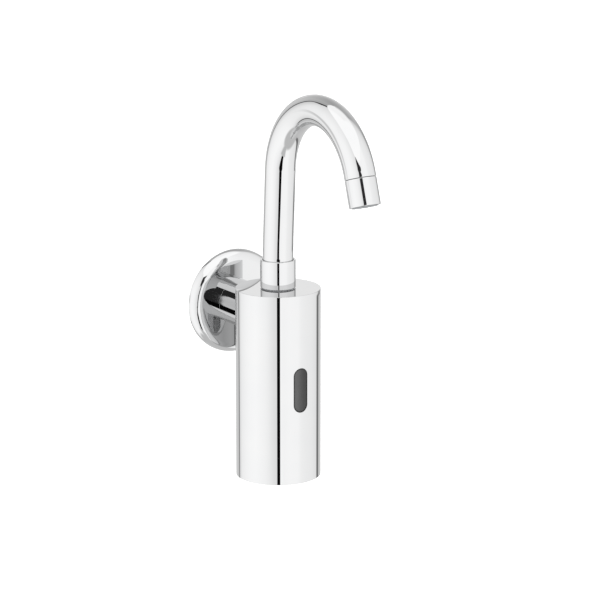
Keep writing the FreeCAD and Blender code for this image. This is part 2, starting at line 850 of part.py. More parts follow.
# ---- valve ----
def valve_body():
    shape = upright(valve_radius, valve_bottom_z, ceiling_z)
    spot = level(socket_radius + hole_clearance, spot_face_y, 0)
    nose = level(socket_nose_radius + thread_clearance,
                 spot_face_y - socket_nose_length - socket_gap, spot_face_y)
    chamber_top_z = valve_bottom_z + chamber_depth
    chamber = upright(chamber_radius, valve_bottom_z, chamber_top_z)
    seat = upright_ring(seat_radius + seat_wall, seat_radius, seat_z, chamber_top_z)
    chamber = chamber.cut(seat).cut(upright(seat_radius, seat_z, chamber_top_z))
    outlet = upright(outlet_bore_radius, seat_z, ceiling_z)
    seat_bore = upright(seat_radius, seat_z, chamber_top_z)
    thread = upright(nipple_thread_radius + thread_clearance,
                     ceiling_z - nipple_thread_length - socket_gap, ceiling_z)
    feed_offset = (seat_radius + seat_wall + chamber_radius) / 2.0
    feed_end_y = -axis_to_wall + feed_offset
    across = cylinder(feed_radius * 1.2, on_inlet(feed_end_y - feed_radius), Y,
                      spot_face_y - feed_end_y + feed_radius)
    down = cylinder(feed_radius, on_inlet(feed_end_y) + Z * chamber_top_z, Z, -chamber_top_z)
    shape = cut(shape, [spot, nose, chamber, outlet, seat_bore, thread, across, down])
    for place in bonnet_screw_places(valve_bottom_z):
        shape = shape.cut(cylinder(small_screw_radius, place, Z, screw_engagement + socket_gap))
    for place in chassis_screw_places(valve_bottom_z):
        shape = shape.cut(cylinder(chassis_screw_radius, place, Z, screw_engagement + socket_gap))
    return shape


def bonnet_screw_places(z):
    places = []
    for i in range(bonnet_screw_count):
        angle = 2 * math.pi * (i + 0.5) / bonnet_screw_count
        offset = X * (bonnet_screw_circle * math.cos(angle)) + Y * (bonnet_screw_circle * math.sin(angle))
        places.append(on_axis(z) + offset)
    return places


def chassis_screw_places(z):
    radius = valve_radius - chassis_boss_radius - fit_clearance
    places = []
    for angle in (90.0 - chassis_boss_angle, 90.0 + chassis_boss_angle):
        turn = math.radians(angle)
        places.append(on_axis(z) + X * (radius * math.cos(turn)) + Y * (radius * math.sin(turn)))
    return places


def valve_disc():
    """The stiff middle of the diaphragm, with the pilot hole through it."""
    shape = upright(disc_radius, disc_bottom_z, disc_top_z)
    return shape.cut(upright(pilot_radius, disc_bottom_z, disc_top_z))


def diaphragm():
    outer = diaphragm_radius
    inner = disc_radius + 2 * fit_clearance
    rim = upright_ring(outer, chamber_radius, valve_bottom_z - diaphragm_rim_thickness, valve_bottom_z)
    web_low = valve_bottom_z - diaphragm_web_thickness
    web = upright_ring(chamber_radius, inner, web_low, valve_bottom_z)
    return fuse(rim, [web])


def bonnet():
    shape = upright(bonnet_radius, bonnet_bottom_z, valve_bottom_z)
    rim_floor_z = valve_bottom_z - diaphragm_rim_thickness
    rim_seat = upright(diaphragm_radius + fit_clearance, rim_floor_z, valve_bottom_z)
    cavity = upright(bonnet_cavity_radius, cavity_floor_z, valve_bottom_z)
    flange_seat = upright(core_flange_radius + fit_clearance,
                          cavity_floor_z - core_flange_thickness, cavity_floor_z)
    core_hole = upright(core_radius + fit_clearance, bonnet_bottom_z, cavity_floor_z)
    shape = cut(shape, [rim_seat, cavity, flange_seat, core_hole])
    for place in bonnet_screw_places(bonnet_bottom_z):
        clear = small_screw_radius + hole_clearance / 2.0
        shape = shape.cut(cylinder(clear, place, Z, bonnet_height))
        sink = cylinder(small_screw_head_radius + groove_side_gap, place, Z, small_screw_head_height)
        shape = shape.cut(sink)
    return shape


def bonnet_screws():
    screws = []
    for place in bonnet_screw_places(bonnet_bottom_z + small_screw_head_height):
        length = bonnet_height - small_screw_head_height + screw_engagement
        screws.append(screw(place, Z, small_screw_radius - thread_clearance, length,
                            small_screw_head_radius, small_screw_head_height))
    return Part.makeCompound(screws)


# ---- solenoid ----
def core_tube():
    barrel = upright(core_radius, core_end_z, cavity_floor_z)
    plate = upright(core_flange_radius, cavity_floor_z - core_flange_thickness, cavity_floor_z)
    stud = upright(stud_radius, core_end_z - stud_length, core_end_z)
    shape = fuse(barrel, [plate, stud])
    return shape.cut(upright(core_bore_radius, core_inner_end_z, cavity_floor_z))


def pole_piece():
    return upright(core_bore_radius - fit_clearance, core_inner_end_z, pole_top_z)


def plunger():
    shape = upright(plunger_radius, plunger_bottom_z, plunger_top_z)
    bore = upright(plunger_bore_radius, plunger_bottom_z, plunger_bottom_z + plunger_bore_depth)
    seat = upright(plunger_seal_radius, plunger_top_z - plunger_seal_depth, plunger_top_z)
    return cut(shape, [bore, seat])


def plunger_seal():
    low = plunger_top_z - plunger_seal_depth
    return upright(plunger_seal_radius - fit_clearance, low, plunger_top_z + plunger_seal_proud)


def plunger_spring():
    low = pole_top_z + spring_wire_radius + fit_clearance
    high = plunger_bottom_z + plunger_bore_depth - spring_wire_radius - fit_clearance
    pitch = (high - low) / spring_turns
    helix = Part.makeHelix(pitch, high - low, spring_radius)
    section = Part.makeCircle(spring_wire_radius, FreeCAD.Vector(spring_radius, 0, 0), Y)
    shape = Part.Wire(helix.Edges).makePipeShell([Part.Wire([section])], True, True)
    shape.translate(on_axis(low))
    return shape


def coil_bobbin():
    inner = core_radius + 2 * fit_clearance
    shape = upright_ring(bobbin_radius, inner, bobbin_bottom_z, bobbin_top_z)
    waist = upright_ring(bobbin_radius, inner + bobbin_wall,
                         bobbin_bottom_z + bobbin_wall, bobbin_top_z - bobbin_wall)
    return shape.cut(waist)


def coil_winding():
    inner = core_radius + bobbin_wall + 3 * fit_clearance
    outer = bobbin_radius - fit_clearance * 4
    return upright_ring(outer, inner, bobbin_bottom_z + bobbin_wall, bobbin_top_z - bobbin_wall)


def latch_magnet():
    inner = core_radius + 2 * fit_clearance
    return upright_ring(magnet_radius, inner, magnet_bottom_z, bobbin_bottom_z)


def coil_yoke():
    inside = bobbin_radius + yoke_gap
    outside = inside + yoke_thickness
    y0 = -axis_to_wall - yoke_half_depth
    y1 = -axis_to_wall + yoke_half_depth
    shape = block(-outside, outside, y0, y1, yoke_bottom_z, yoke_top_z)
    hollow = block(-inside, inside, y0, y1, magnet_bottom_z, bobbin_top_z)
    hole = upright(core_radius + 2 * fit_clearance, yoke_bottom_z, yoke_top_z)
    return cut(shape, [hollow, hole])


def coil_nut():
    shape = hexagon(coil_nut_flats * 1.3, on_axis(yoke_bottom_z - coil_nut_height), Z, coil_nut_height)
    return shape.cut(upright(stud_radius + thread_clearance, core_end_z - 2 * stud_length, core_end_z))


# ---- chassis, battery ----
def chassis():
    outer = inner_radius - chassis_clearance
    plate = upright_ring(outer, outer - chassis_thickness, shelf_bottom_z, valve_bottom_z)
    wedge = Part.makeCylinder(body_radius, valve_bottom_z - shelf_bottom_z,
                              on_axis(shelf_bottom_z), Z, 2 * chassis_half_angle)
    wedge.rotate(on_axis(0), Z, 90.0 - chassis_half_angle)
    plate = plate.common(wedge)
    shelf = upright(outer, shelf_bottom_z, shelf_top_z)
    pieces = [shelf]
    for place in chassis_screw_places(valve_bottom_z - chassis_boss_height):
        pieces.append(cylinder(chassis_boss_radius, place, Z, chassis_boss_height))
    for x in (-post_offset, post_offset):
        start = FreeCAD.Vector(x, -axis_to_wall, cap_top_z)
        pieces.append(cylinder(post_radius, start, Z, shelf_bottom_z - cap_top_z))
    shape = fuse(plate, pieces)
    for place in chassis_screw_places(valve_bottom_z - chassis_boss_height):
        shape = shape.cut(cylinder(chassis_screw_radius, place, Z, chassis_boss_height))
    for place in sensor_screw_places(shelf_bottom_z):
        shape = shape.cut(cylinder(chassis_screw_radius, place, Z, shelf_thickness))
    for place in chassis_screw_places(valve_bottom_z - chassis_boss_height - chassis_head_room):
        pocket_radius = chassis_screw_head_radius + groove_side_gap
        shape = shape.cut(cylinder(pocket_radius, place, Z, chassis_head_room))
    for x in (-post_offset, post_offset):
        start = FreeCAD.Vector(x, -axis_to_wall, cap_top_z)
        shape = shape.cut(cylinder(small_screw_radius, start, Z, screw_engagement + socket_gap))
    return shape


def chassis_screws():
    screws = []
    for place in chassis_screw_places(valve_bottom_z - chassis_boss_height):
        length = chassis_boss_height + screw_engagement
        screws.append(screw(place, Z, chassis_screw_radius - thread_clearance, length,
                            chassis_screw_head_radius, small_screw_head_height))
    return Part.makeCompound(screws)


def battery_holder():
    inside = holder_clearance
    outside = holder_clearance + holder_wall
    low = battery_bottom_z
    shape = obround_post(battery_width + 2 * outside, battery_depth + 2 * outside, low, shelf_bottom_z)
    hollow = obround_post(battery_width + 2 * inside, battery_depth + 2 * inside, low, contact_top_z)
    shape = shape.cut(hollow)
    heads = cylinder_row(shelf_bottom_z - small_screw_head_height - groove_side_gap,
                         small_screw_head_height + groove_side_gap)
    return cut(shape, heads)


def cylinder_row(z, height):
    """Room for the heads of the screws that hold the sensor's housing."""
    radius = chassis_screw_head_radius + groove_side_gap
    return [cylinder(radius, place, Z, height) for place in sensor_screw_places(z)]


def battery():
    """Two cells side by side in one wrap."""
    return obround_post(battery_width, battery_depth, battery_bottom_z, battery_top_z)


def battery_contacts():
    strips = []
    half = contact_spacing / 4.0
    for x in (-contact_spacing / 2.0, contact_spacing / 2.0):
        plate = block(x - half, x + half, -axis_to_wall - half, -axis_to_wall + half,
                      contact_top_z - contact_thickness, contact_top_z)
        start = FreeCAD.Vector(x, -axis_to_wall, battery_top_z)
        button = cylinder(half * 0.6, start, Z, contact_height - contact_thickness)
        strips.append(fuse(plate, [button]))
    return Part.makeCompound(strips)


def battery_pad():
    return upright(pad_radius, cap_top_z, battery_bottom_z)


def build():
    path = SpoutPath()
    nodes = {
        "wall_flange": wall_flange(),
        "wall_gasket": wall_gasket(),
        "inlet_connector": inlet_connector(),
        "connector_o_rings": connector_o_rings(),
        "inlet_filter": inlet_filter(),
        "inlet_socket": inlet_socket(),
        "inlet_socket_seal": inlet_socket_seal(),
        "arm_sleeve": arm_sleeve(),
        "arm_lock_screw": arm_lock_screw(),
        "body_shell": body_shell(),
        "bottom_cap": bottom_cap(),
        "bottom_seal": bottom_seal(),
        "bottom_screws": bottom_screws(),
        "swivel_nipple": swivel_nipple(),
        "nipple_seal": nipple_seal(),
        "swivel_o_rings": swivel_o_rings(),
        "slide_ring": slide_ring(),
        "spout_collar": spout_collar(),
        "swivel_lock_screw": swivel_lock_screw(),
        "spout_tube": spout_tube(path),
        "outlet_ring": outlet_ring(path),
        "aerator_housing": aerator_housing(path),
        "aerator_gasket": aerator_gasket(path),
        "aerator_screen": aerator_screen(path),
        "flow_regulator": flow_regulator(path),
        "aerator_insert": aerator_insert(path),
        "sensor_window": sensor_window(),
        "window_gasket": window_gasket(),
        "sensor_housing": sensor_housing(),
        "sensor_rear_cover": sensor_rear_cover(),
        "sensor_board": sensor_board(),
        "infrared_emitter": diode(window_z + diode_spacing / 2.0),
        "infrared_receiver": diode(window_z - diode_spacing / 2.0),
        "sensor_screws": sensor_screws(),
        "valve_body": valve_body(),
        "valve_disc": valve_disc(),
        "diaphragm": diaphragm(),
        "bonnet": bonnet(),
        "bonnet_screws": bonnet_screws(),
        "core_tube": core_tube(),
        "pole_piece": pole_piece(),
        "plunger": plunger(),
        "plunger_seal": plunger_seal(),
        "plunger_spring": plunger_spring(),
        "coil_bobbin": coil_bobbin(),
        "coil_winding": coil_winding(),
        "latch_magnet": latch_magnet(),
        "coil_yoke": coil_yoke(),
        "coil_nut": coil_nut(),
        "chassis": chassis(),
        "chassis_screws": chassis_screws(),
        "battery_holder": battery_holder(),
        "battery": battery(),
        "battery_contacts": battery_contacts(),
        "battery_pad": battery_pad(),
    }
    return nodes, path


nodes, path = build()
os.makedirs("parts", exist_ok=True)
for name, shape in nodes.items():
    shape.exportStep("parts/" + name + ".step")
    print(name, "solids", len(shape.Solids), "valid", shape.isValid(), "mm3", round(shape.Volume, 1))
print("outlet", path.end + path.direction * aerator_length, "arc centre", path.centre)
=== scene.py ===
import json
import math

import bpy
import numpy as np
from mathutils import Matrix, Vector


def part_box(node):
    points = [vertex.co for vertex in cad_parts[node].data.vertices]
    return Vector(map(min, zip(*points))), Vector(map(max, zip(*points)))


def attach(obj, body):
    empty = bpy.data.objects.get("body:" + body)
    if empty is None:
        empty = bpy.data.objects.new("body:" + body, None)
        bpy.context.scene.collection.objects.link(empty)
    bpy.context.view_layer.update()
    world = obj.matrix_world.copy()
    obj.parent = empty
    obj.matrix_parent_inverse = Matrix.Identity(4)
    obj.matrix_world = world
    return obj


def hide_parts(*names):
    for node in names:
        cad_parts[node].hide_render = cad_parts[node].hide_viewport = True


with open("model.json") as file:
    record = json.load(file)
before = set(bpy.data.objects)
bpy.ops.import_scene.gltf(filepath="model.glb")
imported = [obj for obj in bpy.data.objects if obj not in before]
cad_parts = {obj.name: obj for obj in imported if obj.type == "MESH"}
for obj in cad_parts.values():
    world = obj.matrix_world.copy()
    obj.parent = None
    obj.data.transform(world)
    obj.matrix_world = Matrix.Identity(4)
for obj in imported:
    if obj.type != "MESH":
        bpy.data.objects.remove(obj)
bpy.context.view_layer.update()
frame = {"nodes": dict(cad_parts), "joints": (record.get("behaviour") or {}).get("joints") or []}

# Looks of a chromed wall-mounted sensor tap with a swivelling gooseneck spout.
# Metres in the frame of the solids: +Z up, +Y into the wall, the front at -Y.
MM = 0.001

# ---- places and sizes read from the frame ----
swivel = [joint for joint in frame["joints"] if joint["name"] == "spout_swivel"][0]
AXIS_Y = swivel["pos_m"][1]
TOP_Z = swivel["pos_m"][2]


def low(node):
    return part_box(node)[0]


def high(node):
    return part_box(node)[1]


def span(node, axis):
    return high(node)[axis] - low(node)[axis]


# ---- sizes of the turned and bent pieces, as in the solids ----
fine_edge = 0.1 * MM
mouth_edge = 0.15 * MM
broken_edge = 0.2 * MM
shell_edge = 0.25 * MM
soft_edge = 0.3 * MM
window_edge = 0.35 * MM
collar_edge = 0.4 * MM
round_edge = 0.5 * MM

body_radius = span("body_shell", 0) / 2
body_wall = 2.0 * MM
top_wall = 4.0 * MM
bottom_z = low("body_shell").z
nipple_hole_radius = 9.2 * MM
nipple_seat_radius = 11.65 * MM
nipple_seat_depth = 3.0 * MM
back_hole_radius = 13.4 * MM
window_width = 11.2 * MM
window_height = 32.0 * MM
window_centre_z = (low("sensor_window").z + high("sensor_window").z) / 2
window_clearance = 0.08 * MM
window_recess = 0.4 * MM
window_flange = 2.0 * MM
# Width of the near-black painted shadow line round the window's edge, and how far it blends into the window.
shadow_line_width = 1.3 * MM
shadow_line_blend = 0.4 * MM
# Half the width over which the window's painted shade darkens it from left to right.
painted_shade_half = 4.5 * MM
window_flange_inner = 26.0 * MM
window_flange_outer = 27.4 * MM

flange_radius = high("wall_flange").x
flange_front_y = low("wall_flange").y
flange_edge_radius = 7.0 * MM
flange_recess_depth = 2.0 * MM
flange_rim_width = 3.5 * MM
flange_hole_radius = 10.88 * MM
arm_radius = high("arm_sleeve").x
arm_bore_radius = 14.4 * MM
lock_hole_radius = 2.7 * MM
lock_y = (low("arm_lock_screw").y + high("arm_lock_screw").y) / 2

collar_radius = high("spout_collar").x
collar_bottom_z = low("spout_collar").z
collar_top_z = high("spout_collar").z
tube_foot_z = low("spout_tube").z
tube_inset = 0.02 * MM
tube_radius = 10.75 * MM - tube_inset
tube_bore_radius = 9.5 * MM
tube_play = 0.07 * MM
leg_lean = math.radians(3.26)
leg_blend_radius = 300.0 * MM
leg_height = 64.4 * MM
bend_radius = 51.3 * MM
bend_angle = math.radians(159.0)
straight_end = 2.1 * MM
swivel_bore_radius = 7.55 * MM
swivel_screw_z = (low("swivel_lock_screw").z + high("swivel_lock_screw").z) / 2
swivel_screw_radius = 2.0 * MM
seam_width = 0.5 * MM
seam_depth = 0.9 * MM

# How much of the leg's turn the shading leaves out, about one direction and up to a lean.
flat_angle = math.radians(121.5)
flat_width = math.radians(15.0)
flat_fade = math.radians(25.0)
flat_low = 0.5
flat_high = 0.72

aerator_length = 19.0 * MM
aerator_seam = 0.3 * MM
aerator_lip = 1.2 * MM
aerator_lip_width = 0.5 * MM
insert_proud = 0.5 * MM
insert_start = 10.9 * MM
insert_wide = 9.4 * MM
insert_narrow = 8.9 * MM
jet_radius = 0.8 * MM
jet_pitch = 2.3 * MM

# ---- meshes: points in a full turn, the angle of a sharp edge, and how far a cutter overshoots ----
ROUND = 256
tube_count = 160
insert_count = 128
hole_count = 48
jet_count = 16
sharp_angle = math.radians(30.0)
overcut = 1.0 * MM


# ---- camera, at the photograph's viewing angle ----
camera_place = Vector((-1.0269, -1.7224, 0.4936))
camera_pitch = math.radians(76.16)
camera_turn = math.radians(-32.17)
camera_lens = 172.36
sensor_width = 36.0

camera = bpy.data.objects.new("camera", bpy.data.cameras.new("camera"))
camera.data.lens = camera_lens
camera.data.sensor_width = sensor_width
camera.data.clip_start = 0.05
camera.data.clip_end = 50.0
camera.location = camera_place
camera.rotation_euler = (camera_pitch, 0.0, camera_turn)
bpy.context.scene.collection.objects.link(camera)
bpy.context.scene.camera = camera
bpy.context.scene.view_settings.view_transform = "Standard"
bpy.context.scene.view_settings.look = "None"


# ---- node helpers ----
class Nodes:
    """Makes and links the nodes of one material or world."""

    def __init__(self, owner):
        owner.use_nodes = True
        self.tree = owner.node_tree
        self.tree.nodes.clear()

    def add(self, kind, inputs=None, **settings):
        node = self.tree.nodes.new(kind)
        for name, value in settings.items():
            setattr(node, name, value)
        for name, value in (inputs or {}).items():
            if isinstance(value, bpy.types.NodeSocket):
                self.tree.links.new(value, node.inputs[name])
            else:
                node.inputs[name].default_value = value
        return node

    def math(self, operation, first, second=None, third=None):
        inputs = {0: first}
        if second is not None:
            inputs[1] = second
        if third is not None:
            inputs[2] = third
        return self.add("ShaderNodeMath", inputs, operation=operation).outputs[0]

    def dot(self, vector, other):
        product = self.add("ShaderNodeVectorMath", {0: vector, 1: other}, operation="DOT_PRODUCT")
        return product.outputs["Value"]

    def ramp(self, factor, stops):
        """A colour ramp from (place, grey or colour) stops."""
        node = self.add("ShaderNodeValToRGB", {0: factor})
        ramp = node.color_ramp
        ramp.interpolation = "LINEAR"
        while len(ramp.elements) < len(stops):
            ramp.elements.new(1.0)
        for element, (place, colour) in zip(ramp.elements, stops):
            if isinstance(colour, (int, float)):
                colour = (colour, colour, colour)
            element.position = place
            element.color = (*colour, 1.0)
        return node.outputs["Color"]

    def between(self, value, low_value, high_value, to_low=0.0, to_high=1.0, smooth=True):
        """Goes from to_low to to_high while value goes from low_value to high_value, and stops there."""
        kind = "SMOOTHSTEP" if smooth else "LINEAR"
        inputs = {"Value": value, "From Min": low_value, "From Max": high_value,
                  "To Min": to_low, "To Max": to_high}
        return self.add("ShaderNodeMapRange", inputs, interpolation_type=kind).outputs["Result"]

    def mix(self, factor, first, second, blend="MIX"):
        node = self.add("ShaderNodeMix", data_type="RGBA", blend_type=blend)
        for socket, value in ((node.inputs[0], factor), (node.inputs[6], first), (node.inputs[7], second)):
            if isinstance(value, bpy.types.NodeSocket):
                self.tree.links.new(value, socket)
            elif isinstance(value, (int, float)) and socket.type == "RGBA":
                socket.default_value = (value, value, value, 1.0)
            else:
                socket.default_value = value
        return node.outputs[2]

    def places(self):
        """Places on the piece, in metres of the frame."""
        return self.add("ShaderNodeTexCoord").outputs["Object"]

    def noise(self, scale, detail=3.0, roughness=0.5, stretch=(1, 1, 1)):
        mapped = self.add("ShaderNodeMapping", {"Vector": self.places(), "Scale": stretch}).outputs[0]
        inputs = {"Vector": mapped, "Scale": scale, "Detail": detail, "Roughness": roughness}
        return self.add("ShaderNodeTexNoise", inputs).outputs["Fac"]

    def bump(self, height, strength, distance):
        inputs = {"Height": height, "Strength": strength, "Distance": distance}
        return self.add("ShaderNodeBump", inputs).outputs["Normal"]

    def surface(self, inputs):
        shader = self.add("ShaderNodeBsdfPrincipled", inputs)
        self.add("ShaderNodeOutputMaterial", {"Surface": shader.outputs[0]})


def new_material(name):
    material = bpy.data.materials.new(name)
    return material, Nodes(material)


# ---- studio: a light tent for the chrome to mirror ----
# A bearing is in degrees from the camera's side of the body, positive to its right. A lift is in degrees
# over the horizon. A tone is a screen value from 0 to 255, as the chrome shows it.
plating_reflectance = 0.62

wall_tones = [
    (-180, 176), (-160, 186), (-150, 193), (-141, 184), (-136.5, 182), (-130.5, 204), (-123, 222),
    (-117, 233), (-100, 241), (-86, 245), (-64, 247), (-48, 244), (-36, 241), (-28, 237), (-20, 231),
    (-14, 226), (-9, 222), (-2, 218), (5, 247), (12, 242), (31, 244), (55, 243), (66, 237), (80, 234),
    (100, 231), (112, 227), (127, 216), (140, 184), (154, 188), (168, 182), (180, 176)]
eaves_lifts = [
    (0, 31.5), (9.9, 33.0), (20, 36.5), (30, 42.5), (40, 47.0), (75.6, 52.5), (109.8, 56.0), (154.8, 59.0),
    (180, 59.0)]
patch_tone = 196
left_corner_tone = 58
right_corner_low_tone = 106
right_corner_high_tone = 140
backdrop_tone = 213
ceiling_front_tone = 250
ceiling_back_tone = 242
slit_low_tone = 8
slit_high_tone = 44
table_tone = 184
# How much of the wall's light is left under the ceiling, on the left and at the back.
left_shade = 0.87
back_shade = 0.84

# Steps over lift, each from its start to its end. The body mirrors lifts below the level step, and the
# collar those above it. The slit is wider below its foot and above its head, and ends at the table's
# front edge.
level_step = (-13.78, -13.68)
slit_foot = (-25.0, -18.5)
slit_head = (14.0, 16.0)
table_front_edge = (-47.0, -45.0)
table_far_edge = (-66.0, -57.0)


def grey(tone):
    """The light that a tone stands for."""
    value = tone / 255.0
    return value / 12.92 if value <= 0.04045 else ((value + 0.055) / 1.055) ** 2.4


class Tent:
    """The studio's directions as node values, and the tent's parts by bearing and lift."""

    def __init__(self, n):
        self.n = n
        direction = n.add("ShaderNodeTexCoord").outputs["Generated"]
        toward = Vector((camera_place.x, camera_place.y - AXIS_Y, 0.0)).normalized()
        across = Vector((-toward.y, toward.x, 0.0))
        turn = n.math("ARCTAN2", n.dot(direction, across), n.dot(direction, toward))
        self.bearing = n.math("MULTIPLY", turn, math.degrees(1.0))
        self.off = n.math("ABSOLUTE", self.bearing)
        up = n.dot(direction, (0.0, 0.0, 1.0))
        self.lift = n.math("MULTIPLY", n.math("ARCSINE", up), math.degrees(1.0))
        self.level = n.between(self.lift, *level_step)

    def inside(self, value, centre, half, soft):
        """1 within half of the centre, and 0 from soft beyond that."""
        n = self.n
        distance = n.math("ABSOLUTE", n.math("SUBTRACT", value, centre))
        return n.between(n.math("SUBTRACT", distance, half), -soft, soft, 1.0, 0.0)

    def times(self, *factors):
        result = factors[0]
        for factor in factors[1:]:
            result = self.n.math("MULTIPLY", result, factor)
        return result

    def by_level(self, low_value, high_value):
        return self.n.between(self.level, 0.0, 1.0, low_value, high_value)

    def over_lift(self, start, *steps):
        """A value that changes over lift by each (low lift, high lift, change below, change above)."""
        for step in steps:
            start = self.n.math("ADD", start, self.n.between(self.lift, *step))
        return start

    def walls(self):
        """Pale walls that darken behind the tap and towards the ceiling, with a grey patch on the left."""
        n = self.n
        stops = [((bearing + 180.0) / 360.0, grey(tone)) for bearing, tone in wall_tones]
        walls = n.ramp(n.between(self.bearing, -180.0, 180.0, smooth=False), stops)
        behind = n.between(self.off, 132.0, 140.0)
        left = n.math("MAXIMUM", n.between(self.bearing, -3.0, 1.0, 1.0, 0.0), behind)
        walls = n.mix(left, walls, n.mix(n.between(self.lift, 8.0, 58.0), 1.0, left_shade), "MULTIPLY")
        walls = n.mix(behind, walls, n.mix(n.between(self.lift, 5.0, 58.0), 1.0, back_shade), "MULTIPLY")
        beside = self.inside(self.bearing, -108.0, 7.0, 4.0)
        patch = self.times(beside, self.inside(self.lift, -4.0, 5.0, 2.5))
        return n.mix(patch, walls, grey(patch_tone))

    def corners(self, walls):
        """The dark upright lines in the tent's two back corners."""
        n = self.n
        left_place = self.over_lift(self.by_level(-132.0, -135.2), (30.0, 48.0, 0.0, 6.5))
        left_half = n.between(self.lift, 34.0, 46.0, 1.8, 4.5)
        left_line = self.inside(self.bearing, left_place, left_half, 0.5)
        walls = n.mix(left_line, walls, grey(left_corner_tone))
        right_line = self.inside(self.bearing, self.by_level(133.3, 146.0), self.by_level(6.2, 9.0), 1.5)
        right_tone = n.mix(self.level, grey(right_corner_low_tone), grey(right_corner_high_tone))
        return n.mix(right_line, walls, n.mix(n.between(self.lift, 10.0, 26.0), right_tone, walls))

    def backdrop(self, walls):
        """The pale patch straight behind the tap that the body's top face mirrors."""
        patch = self.times(self.inside(self.off, 180.0, 16.0, 4.0), self.inside(self.lift, 14.0, 2.0, 1.0))
        return self.n.mix(patch, walls, grey(backdrop_tone))

    def ceiling(self, walls):
        """A white ceiling above the eaves, whose edge is blurred more towards the right."""
        n = self.n
        # The ramp's values stay under 1, so it holds hundredths of the lift.
        scale = 100.0
        stops = [(bearing / 180.0, eaves / scale) for bearing, eaves in eaves_lifts]
        eaves = n.ramp(n.math("MULTIPLY", self.off, 1.0 / 180.0), stops)
        above = n.math("SUBTRACT", self.lift, n.math("MULTIPLY", eaves, scale))
        blur = n.between(self.bearing, 60.0, 130.0, 0.8, 7.0)
        white = n.mix(n.between(self.off, 100.0, 140.0), grey(ceiling_front_tone), grey(ceiling_back_tone))
        return n.mix(n.between(n.math("DIVIDE", above, blur), -1.0, 1.0), walls, white)

    def slit(self, walls):
        """The dark gap at the camera's bearing, between the tent's two front panels."""
        n = self.n
        # From the arm and the flange the gap shows only right of a bent edge.
        shifted = n.math("ADD", self.lift, 0.1)
        bent = n.math("MULTIPLY_ADD", n.math("MULTIPLY", shifted, shifted), 0.0137, -1.55)
        middle = self.times(n.between(self.lift, -13.0, -12.6), n.between(self.lift, 15.5, 16.5, 1.0, 0.0))
        left = self.over_lift(self.by_level(-3.2, -5.6), (*slit_foot, -3.6, 0.0), (*slit_head, 0.0, -3.4),
                              (18.5, 21.5, 0.0, -4.0), (24.0, 28.0, 0.0, -2.0))
        left = n.between(middle, 0.0, 1.0, left, bent, smooth=False)
        left_soft = n.between(middle, 0.0, 1.0, 0.3, 0.04)
        right = self.over_lift(self.by_level(5.1, 8.8), (*slit_foot, 3.4, 0.0), (*slit_head, 0.0, 3.4))
        right = n.math("MULTIPLY_ADD", self.inside(self.lift, 22.2, 1.5, 0.6), -4.0, right)
        slanted = n.math("MULTIPLY_ADD", self.bearing, 0.3, self.lift)
        past_left = n.math("DIVIDE", n.math("SUBTRACT", self.bearing, left), left_soft)
        past_right = n.math("SUBTRACT", right, self.bearing)
        gap = self.times(n.between(past_left, -1.0, 1.0), n.between(past_right, -0.3, 0.3),
                         n.between(slanted, 31.2, 32.0, 1.0, 0.0), n.between(self.lift, *table_front_edge))
        dark = n.mix(n.between(self.lift, -12.9, -12.5), grey(slit_low_tone), grey(slit_high_tone))
        return n.mix(gap, walls, dark)

    def table(self, walls):
        """A grey table below the tap, which comes up higher at the camera's side."""
        n = self.n
        in_front = self.inside(self.bearing, 0.0, 20.0, 8.0)
        near = self.times(in_front, n.between(self.lift, *table_front_edge, 1.0, 0.0))
        below = n.math("MAXIMUM", near, n.between(self.lift, *table_far_edge, 1.0, 0.0))
        return n.mix(below, walls, grey(table_tone))


def make_world():
    """White to the camera, and the light tent to everything else."""
    world = bpy.data.worlds.new("studio")
    bpy.context.scene.world = world
    n = Nodes(world)
    tent = Tent(n)
    light = tent.table(tent.slit(tent.ceiling(tent.backdrop(tent.corners(tent.walls())))))
    seen = n.add("ShaderNodeLightPath").outputs["Is Camera Ray"]
    strength = 1.0 / plating_reflectance
    background = n.add("ShaderNodeBackground", {"Color": n.mix(seen, light, 1.0), "Strength": strength})
    n.add("ShaderNodeOutputWorld", {"Surface": background.outputs[0]})


make_world()

floor_z = -0.62
floor_half = 6.0
floor_mesh = bpy.data.meshes.new("floor")
floor_corners = [(x * floor_half, y * floor_half, floor_z) for x, y in ((-1, -1), (1, -1), (1, 1), (-1, 1))]
floor_mesh.from_pydata(floor_corners, [], [(0, 1, 2, 3)])
floor = bpy.data.objects.new("floor", floor_mesh)
bpy.context.scene.collection.objects.link(floor)
floor.visible_glossy = False
floor_material, n = new_material("floor")
pale = n.ramp(n.noise(3.0), [(0.3, 0.93), (0.7, 0.95)])
n.surface({"Base Color": pale, "Roughness": 0.9, "Emission Color": (1, 1, 1, 1), "Emission Strength": 0.22})
floor_mesh.materials.append(floor_material)


# ---- materials ----
def chrome():
    material, n = new_material("chrome")
    shades = [tuple(plating_reflectance * tint for tint in tints)
              for tints in ((0.988, 0.992, 0.998), (1.004, 1.006, 1.008))]
    base = n.ramp(n.noise(45.0, detail=2.0), [(0.35, shades[0]), (0.65, shades[1])])
    rough = n.between(n.noise(900.0, 4.0, 0.6), 0.3, 0.75, 0.005, 0.02)
    n.surface({"Base Color": base, "Metallic": 1.0, "Roughness": rough})
    return material


def brass():
    material, n = new_material("brass")
    base = n.ramp(n.noise(120.0, 4.0), [(0.3, (0.58, 0.40, 0.17)), (0.7, (0.74, 0.54, 0.27))])
    rough = n.between(n.noise(700.0, 5.0, 0.65), 0.3, 0.7, 0.24, 0.42)
    brushed = n.noise(1600.0, 3.0, 0.6, stretch=(1, 6, 1))
    bump = n.bump(brushed, strength=0.12, distance=0.2 * MM)
    n.surface({"Base Color": base, "Metallic": 1.0, "Roughness": rough, "Normal": bump})
    return material


